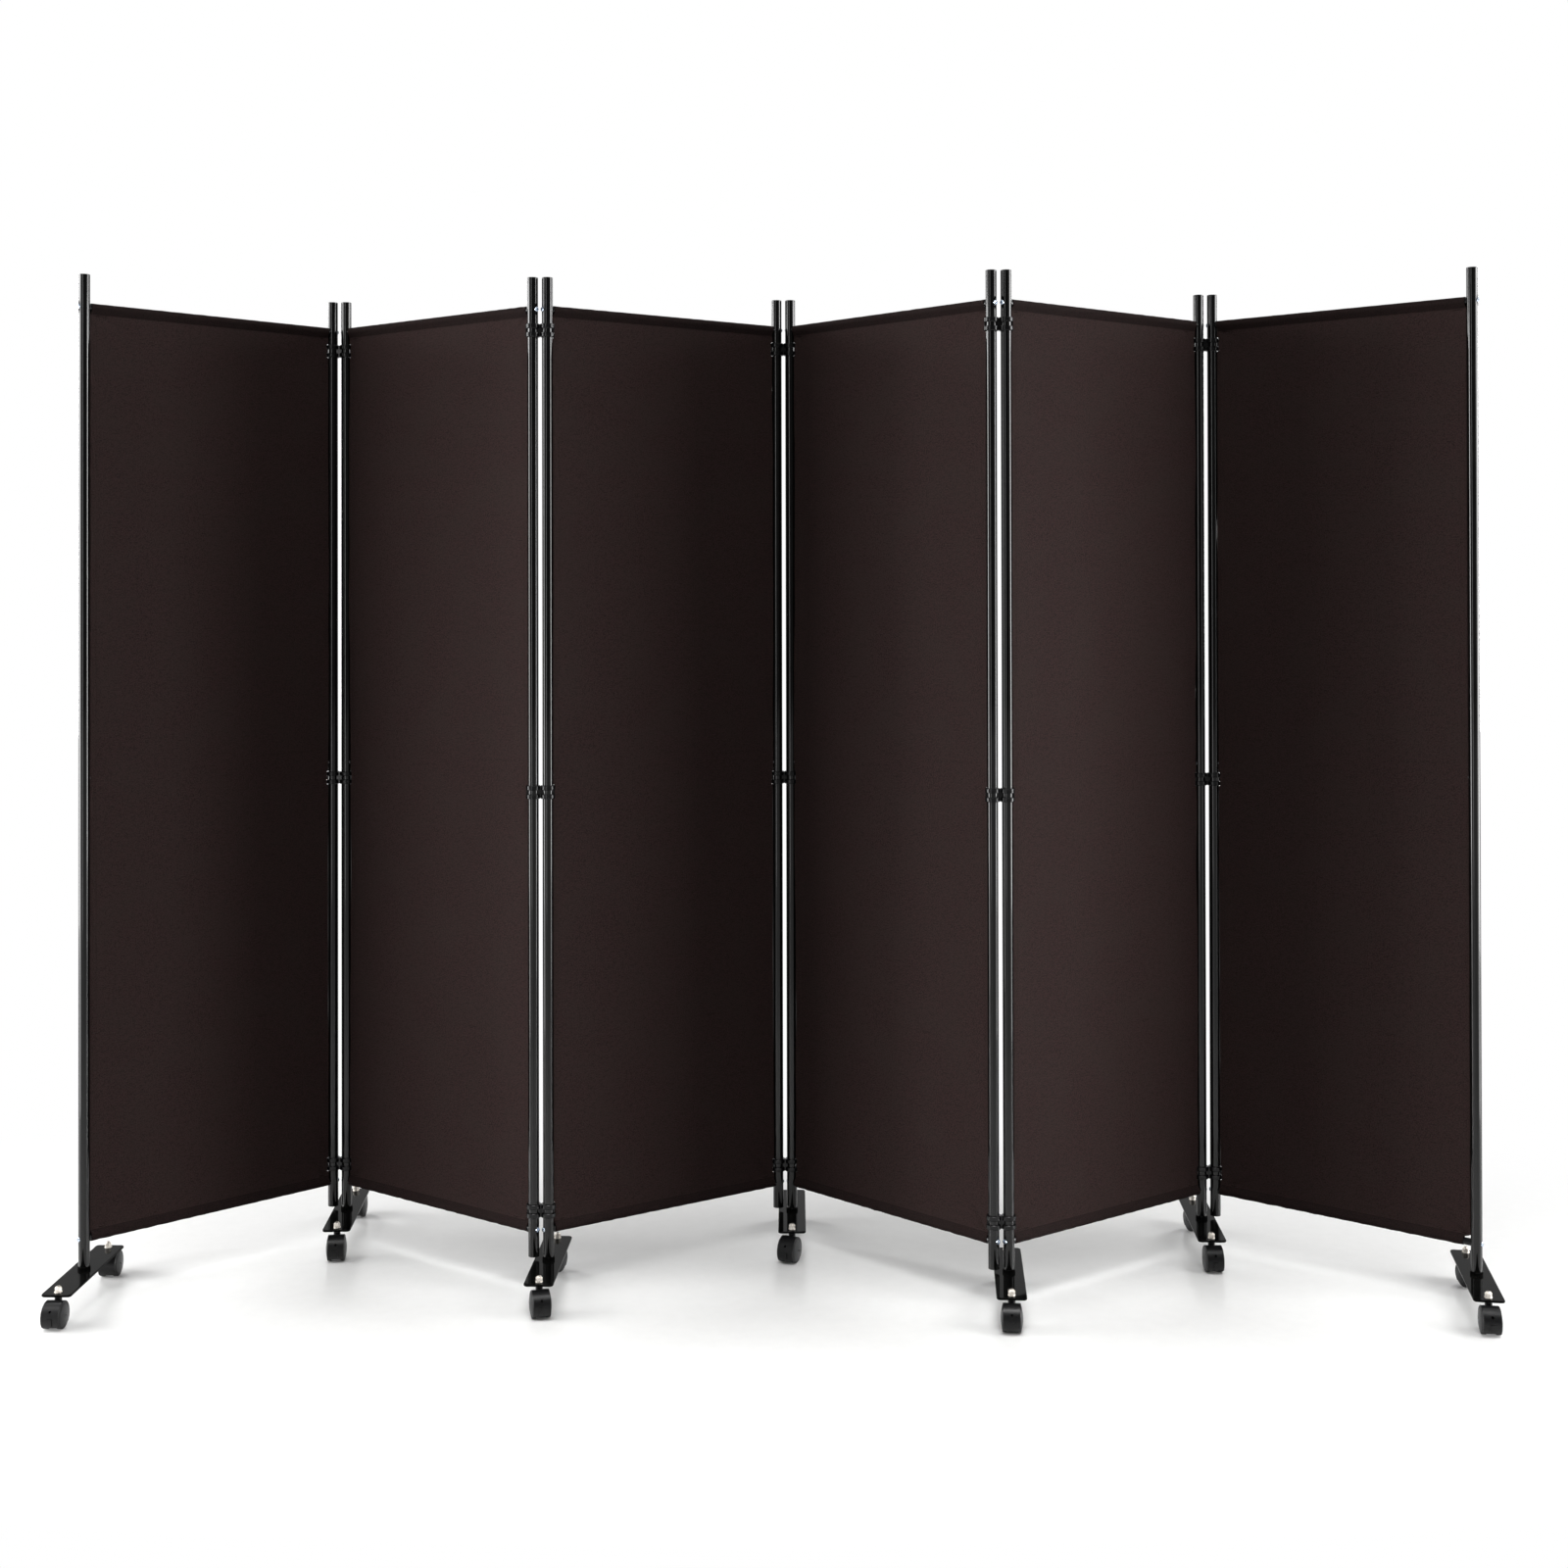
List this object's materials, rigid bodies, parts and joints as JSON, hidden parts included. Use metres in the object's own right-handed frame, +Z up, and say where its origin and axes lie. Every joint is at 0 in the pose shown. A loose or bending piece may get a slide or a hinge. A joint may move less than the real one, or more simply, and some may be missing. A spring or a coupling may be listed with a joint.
{
  "type": "folding room divider",
  "caption": "Folding screen of fabric panels on black steel poles, joined by hinge clips and standing on feet with swivel casters.",
  "frame": {"origin": "on the floor, below the middle of the screen's overall box", "axes": "+X along the screen from the viewer's left to right, +Y away from the viewer, +Z up"},
  "size_m": [2.4358, 0.6582, 1.754],
  "materials": {
    "black_steel": "gloss black powder coat",
    "brown_fabric": "plain dark brown polyester weave",
    "black_plastic": "moulded, satin",
    "wheel_plastic": "moulded, worn matt"
  },
  "bodies": {
    "panel_1": {"panel_1_poles": "black_steel", "panel_1_rails": "black_steel", "panel_1_fabric": "brown_fabric"},
    "panel_2": {"panel_2_poles": "black_steel", "panel_2_rails": "black_steel", "panel_2_fabric": "brown_fabric"},
    "panel_3": {"panel_3_poles": "black_steel", "panel_3_rails": "black_steel", "panel_3_fabric": "brown_fabric"},
    "panel_4": {"panel_4_poles": "black_steel", "panel_4_rails": "black_steel", "panel_4_fabric": "brown_fabric"},
    "panel_5": {"panel_5_poles": "black_steel", "panel_5_rails": "black_steel", "panel_5_fabric": "brown_fabric"},
    "panel_6": {"panel_6_poles": "black_steel", "panel_6_rails": "black_steel", "panel_6_fabric": "brown_fabric"},
    "hinge_1": {"hinge_clips_1": "black_plastic"},
    "hinge_2": {"hinge_clips_2": "black_plastic"},
    "hinge_3": {"hinge_clips_3": "black_plastic"},
    "hinge_4": {"hinge_clips_4": "black_plastic"},
    "hinge_5": {"hinge_clips_5": "black_plastic"},
    "foot_1": {"foot_1": "black_steel"},
    "foot_2": {"foot_2": "black_steel"},
    "foot_3": {"foot_3": "black_steel"},
    "foot_4": {"foot_4": "black_steel"},
    "foot_5": {"foot_5": "black_steel"},
    "foot_6": {"foot_6": "black_steel"},
    "foot_7": {"foot_7": "black_steel"},
    "caster_1_front": {"caster_1_front": "black_plastic"},
    "caster_1_rear": {"caster_1_rear": "black_plastic"},
    "caster_2_front": {"caster_2_front": "black_plastic"},
    "caster_2_rear": {"caster_2_rear": "black_plastic"},
    "caster_3_front": {"caster_3_front": "black_plastic"},
    "caster_3_rear": {"caster_3_rear": "black_plastic"},
    "caster_4_front": {"caster_4_front": "black_plastic"},
    "caster_4_rear": {"caster_4_rear": "black_plastic"},
    "caster_5_front": {"caster_5_front": "black_plastic"},
    "caster_5_rear": {"caster_5_rear": "black_plastic"},
    "caster_6_front": {"caster_6_front": "black_plastic"},
    "caster_6_rear": {"caster_6_rear": "black_plastic"},
    "caster_7_front": {"caster_7_front": "black_plastic"},
    "caster_7_rear": {"caster_7_rear": "black_plastic"},
    "wheels_1_front": {"wheels_1_front": "wheel_plastic"},
    "wheels_1_rear": {"wheels_1_rear": "wheel_plastic"},
    "wheels_2_front": {"wheels_2_front": "wheel_plastic"},
    "wheels_2_rear": {"wheels_2_rear": "wheel_plastic"},
    "wheels_3_front": {"wheels_3_front": "wheel_plastic"},
    "wheels_3_rear": {"wheels_3_rear": "wheel_plastic"},
    "wheels_4_front": {"wheels_4_front": "wheel_plastic"},
    "wheels_4_rear": {"wheels_4_rear": "wheel_plastic"},
    "wheels_5_front": {"wheels_5_front": "wheel_plastic"},
    "wheels_5_rear": {"wheels_5_rear": "wheel_plastic"},
    "wheels_6_front": {"wheels_6_front": "wheel_plastic"},
    "wheels_6_rear": {"wheels_6_rear": "wheel_plastic"},
    "wheels_7_front": {"wheels_7_front": "wheel_plastic"},
    "wheels_7_rear": {"wheels_7_rear": "wheel_plastic"}
  },
  "joints": [
    {"name": "panel_3_fold", "type": "hinge", "parent": "hinge_3", "child": "panel_3", "pos_m": [-0.00772, 0.16988, 0.9], "axis": [0, 0, 1], "range_deg": [-121, 52]},
    {"name": "hinge_2_turn", "type": "hinge", "parent": "panel_3", "child": "hinge_2", "pos_m": [-0.4033, -0.102, 0.9], "axis": [0, 0, 1], "range_deg": [-52, 121]},
    {"name": "panel_2_fold", "type": "hinge", "parent": "hinge_2", "child": "panel_2", "pos_m": [-0.4288, -0.102, 0.9], "axis": [0, 0, -1], "range_deg": [-122.5, 50.5]},
    {"name": "hinge_1_turn", "type": "hinge", "parent": "panel_2", "child": "hinge_1", "pos_m": [-0.81713, 0.18014, 0.9], "axis": [0, 0, -1], "range_deg": [-50.5, 122.5]},
    {"name": "panel_1_fold", "type": "hinge", "parent": "hinge_1", "child": "panel_1", "pos_m": [-0.84263, 0.18014, 0.9], "axis": [0, 0, 1], "range_deg": [-130, 43]},
    {"name": "panel_4_fold", "type": "hinge", "parent": "hinge_3", "child": "panel_4", "pos_m": [0.01778, 0.16988, 0.9], "axis": [0, 0, -1], "range_deg": [-131, 42]},
    {"name": "hinge_4_turn", "type": "hinge", "parent": "panel_4", "child": "hinge_4", "pos_m": [0.36014, -0.16656, 0.9], "axis": [0, 0, -1], "range_deg": [-42, 131]},
    {"name": "panel_5_fold", "type": "hinge", "parent": "hinge_4", "child": "panel_5", "pos_m": [0.38564, -0.16656, 0.9], "axis": [0, 0, 1], "range_deg": [-123, 50]},
    {"name": "hinge_5_turn", "type": "hinge", "parent": "panel_5", "child": "hinge_5", "pos_m": [0.77149, 0.11896, 0.9], "axis": [0, 0, 1], "range_deg": [-50, 123]},
    {"name": "panel_6_fold", "type": "hinge", "parent": "hinge_5", "child": "panel_6", "pos_m": [0.79699, 0.11896, 0.9], "axis": [0, 0, -1], "range_deg": [-125, 48]},
    {"name": "foot_1_turn", "type": "hinge", "parent": "panel_1", "child": "foot_1", "pos_m": [-1.19081, -0.15027, 0.054], "axis": [0, 0, 1], "range_deg": [-43, 130]},
    {"name": "foot_2_turn", "type": "hinge", "parent": "panel_2", "child": "foot_2", "pos_m": [-0.81713, 0.18014, 0.054], "axis": [0, 0, -1], "range_deg": [-50.5, 122.5]},
    {"name": "foot_3_turn", "type": "hinge", "parent": "panel_3", "child": "foot_3", "pos_m": [-0.4033, -0.102, 0.054], "axis": [0, 0, 1], "range_deg": [-52, 121]},
    {"name": "foot_4_turn", "type": "hinge", "parent": "panel_4", "child": "foot_4", "pos_m": [0.01778, 0.16988, 0.054], "axis": [0, 0, -1], "range_deg": [-42, 131]},
    {"name": "foot_5_turn", "type": "hinge", "parent": "panel_5", "child": "foot_5", "pos_m": [0.38564, -0.16656, 0.054], "axis": [0, 0, 1], "range_deg": [-50, 123]},
    {"name": "foot_6_turn", "type": "hinge", "parent": "panel_5", "child": "foot_6", "pos_m": [0.77149, 0.11896, 0.054], "axis": [0, 0, 1], "range_deg": [-50, 123]},
    {"name": "foot_7_turn", "type": "hinge", "parent": "panel_6", "child": "foot_7", "pos_m": [1.17265, -0.17985, 0.054], "axis": [0, 0, -1], "range_deg": [-48, 125]},
    {"name": "caster_1_front_swivel", "type": "hinge", "parent": "foot_1", "child": "caster_1_front", "pos_m": [-1.19276, -0.26225, 0.04], "axis": [0, 0, 1], "continuous": true},
    {"name": "wheels_1_front_roll", "type": "hinge", "parent": "caster_1_front", "child": "wheels_1_front", "pos_m": [-1.19344, -0.27524, 0.0215], "axis": [0.9986, -0.0523, 0], "continuous": true},
    {"name": "caster_1_rear_swivel", "type": "hinge", "parent": "foot_1", "child": "caster_1_rear", "pos_m": [-1.18885, -0.03829, 0.04], "axis": [0, 0, 1], "continuous": true},
    {"name": "wheels_1_rear_roll", "type": "hinge", "parent": "caster_1_rear", "child": "wheels_1_rear", "pos_m": [-1.18885, -0.02529, 0.0215], "axis": [-1, 0, 0], "continuous": true},
    {"name": "caster_2_front_swivel", "type": "hinge", "parent": "foot_2", "child": "caster_2_front", "pos_m": [-0.80931, 0.06841, 0.04], "axis": [0, 0, 1], "continuous": true},
    {"name": "wheels_2_front_roll", "type": "hinge", "parent": "caster_2_front", "child": "wheels_2_front", "pos_m": [-0.8075, 0.05554, 0.0215], "axis": [0.9903, 0.1392, 0], "continuous": true},
    {"name": "caster_2_rear_swivel", "type": "hinge", "parent": "foot_2", "child": "caster_2_rear", "pos_m": [-0.82494, 0.29187, 0.04], "axis": [0, 0, 1], "continuous": true},
    {"name": "wheels_2_rear_roll", "type": "hinge", "parent": "caster_2_rear", "child": "wheels_2_rear", "pos_m": [-0.82494, 0.30487, 0.0215], "axis": [-1, 0, 0], "continuous": true},
    {"name": "caster_3_front_swivel", "type": "hinge", "parent": "foot_3", "child": "caster_3_front", "pos_m": [-0.40525, -0.21398, 0.04], "axis": [0, 0, 1], "continuous": true},
    {"name": "wheels_3_front_roll", "type": "hinge", "parent": "caster_3_front", "child": "wheels_3_front", "pos_m": [-0.40167, -0.22648, 0.0215], "axis": [0.9613, 0.2756, 0], "continuous": true},
    {"name": "caster_3_rear_swivel", "type": "hinge", "parent": "foot_3", "child": "caster_3_rear", "pos_m": [-0.40134, 0.00999, 0.04], "axis": [0, 0, 1], "continuous": true},
    {"name": "wheels_3_rear_roll", "type": "hinge", "parent": "caster_3_rear", "child": "wheels_3_rear", "pos_m": [-0.40684, -0.00179, 0.0215], "axis": [0.9063, -0.4226, 0], "continuous": true},
    {"name": "caster_4_front_swivel", "type": "hinge", "parent": "foot_4", "child": "caster_4_front", "pos_m": [0.01778, 0.05788, 0.04], "axis": [0, 0, 1], "continuous": true},
    {"name": "wheels_4_front_roll", "type": "hinge", "parent": "caster_4_front", "child": "wheels_4_front", "pos_m": [0.01291, 0.04582, 0.0215], "axis": [0.9272, -0.3746, 0], "continuous": true},
    {"name": "caster_4_rear_swivel", "type": "hinge", "parent": "foot_4", "child": "caster_4_rear", "pos_m": [0.01778, 0.28188, 0.04], "axis": [0, 0, 1], "continuous": true},
    {"name": "wheels_4_rear_roll", "type": "hinge", "parent": "caster_4_rear", "child": "wheels_4_rear", "pos_m": [0.01778, 0.26888, 0.0215], "axis": [1, 0, 0], "continuous": true},
    {"name": "caster_5_front_swivel", "type": "hinge", "parent": "foot_5", "child": "caster_5_front", "pos_m": [0.37783, -0.27829, 0.04], "axis": [0, 0, 1], "continuous": true},
    {"name": "wheels_5_front_roll", "type": "hinge", "parent": "caster_5_front", "child": "wheels_5_front", "pos_m": [0.37647, -0.29121, 0.0215], "axis": [0.9945, -0.1045, 0], "continuous": true},
    {"name": "caster_5_rear_swivel", "type": "hinge", "parent": "foot_5", "child": "caster_5_rear", "pos_m": [0.39345, -0.05483, 0.04], "axis": [0, 0, 1], "continuous": true},
    {"name": "wheels_5_rear_roll", "type": "hinge", "parent": "caster_5_rear", "child": "wheels_5_rear", "pos_m": [0.39345, -0.06783, 0.0215], "axis": [1, 0, 0], "continuous": true},
    {"name": "caster_6_front_swivel", "type": "hinge", "parent": "foot_6", "child": "caster_6_front", "pos_m": [0.76563, 0.00711, 0.04], "axis": [0, 0, 1], "continuous": true},
    {"name": "wheels_6_front_roll", "type": "hinge", "parent": "caster_6_front", "child": "wheels_6_front", "pos_m": [0.76586, -0.00589, 0.0215], "axis": [0.9998, 0.0175, 0], "continuous": true},
    {"name": "caster_6_rear_swivel", "type": "hinge", "parent": "foot_6", "child": "caster_6_rear", "pos_m": [0.77736, 0.2308, 0.04], "axis": [0, 0, 1], "continuous": true},
    {"name": "wheels_6_rear_roll", "type": "hinge", "parent": "caster_6_rear", "child": "wheels_6_rear", "pos_m": [0.7818, 0.21859, 0.0215], "axis": [0.9397, 0.342, 0], "continuous": true},
    {"name": "caster_7_front_swivel", "type": "hinge", "parent": "foot_7", "child": "caster_7_front", "pos_m": [1.1532, -0.29015, 0.04], "axis": [0, 0, 1], "continuous": true},
    {"name": "wheels_7_front_roll", "type": "hinge", "parent": "caster_7_front", "child": "wheels_7_front", "pos_m": [1.15139, -0.30302, 0.0215], "axis": [0.9903, -0.1392, 0], "continuous": true},
    {"name": "caster_7_rear_swivel", "type": "hinge", "parent": "foot_7", "child": "caster_7_rear", "pos_m": [1.19209, -0.06955, 0.04], "axis": [0, 0, 1], "continuous": true},
    {"name": "wheels_7_rear_roll", "type": "hinge", "parent": "caster_7_rear", "child": "wheels_7_rear", "pos_m": [1.19611, -0.08192, 0.0215], "axis": [0.9511, 0.309, 0], "continuous": true}
  ],
  "couplings": [
    {"joint": "hinge_2_turn", "follows": "panel_3_fold", "ratio": -1},
    {"joint": "hinge_1_turn", "follows": "panel_2_fold", "ratio": -1},
    {"joint": "hinge_4_turn", "follows": "panel_4_fold", "ratio": -1},
    {"joint": "hinge_5_turn", "follows": "panel_5_fold", "ratio": -1},
    {"joint": "foot_1_turn", "follows": "panel_1_fold", "ratio": -1},
    {"joint": "foot_2_turn", "follows": "panel_2_fold", "ratio": -1},
    {"joint": "foot_3_turn", "follows": "panel_3_fold", "ratio": -1},
    {"joint": "foot_4_turn", "follows": "panel_4_fold", "ratio": -1},
    {"joint": "foot_5_turn", "follows": "panel_5_fold", "ratio": -1},
    {"joint": "foot_6_turn", "follows": "panel_5_fold", "ratio": -1},
    {"joint": "foot_7_turn", "follows": "panel_6_fold", "ratio": -1}
  ]
}
